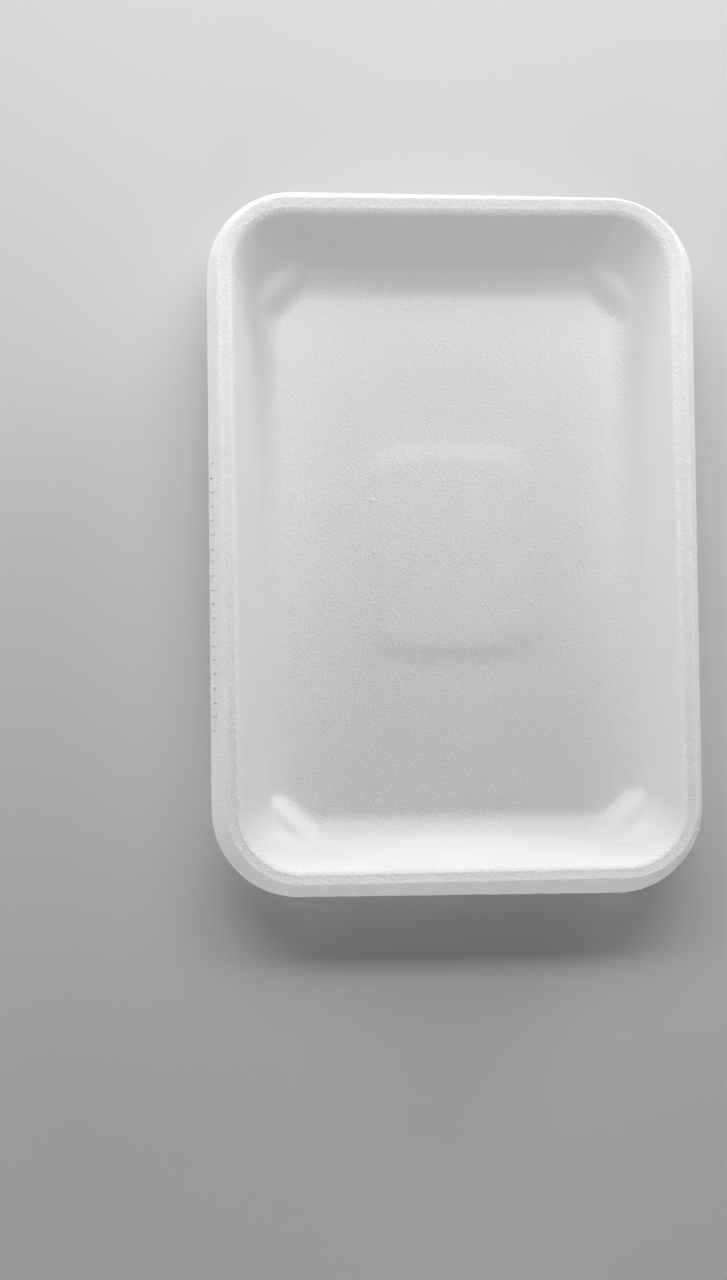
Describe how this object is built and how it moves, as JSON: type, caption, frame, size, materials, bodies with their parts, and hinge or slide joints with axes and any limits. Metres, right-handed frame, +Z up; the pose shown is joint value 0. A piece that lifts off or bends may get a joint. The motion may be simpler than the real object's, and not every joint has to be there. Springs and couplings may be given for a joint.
{
  "type": "foam tray",
  "caption": "Shallow rectangular foam food tray with rounded corners, sloping walls, a turned-down rim and a raised bar across each corner of its floor.",
  "frame": {"origin": "under the middle of the floor, on the surface that the tray stands on", "axes": "+X across the tray, +Y along it, +Z up out of the open dish"},
  "size_m": [0.146, 0.2096, 0.0254],
  "materials": {
    "foam": "white expanded foam with a fine grained satin skin, grainy where its edge is cut"
  },
  "bodies": {
    "root": {"foam_tray": "foam"}
  },
  "joints": []
}
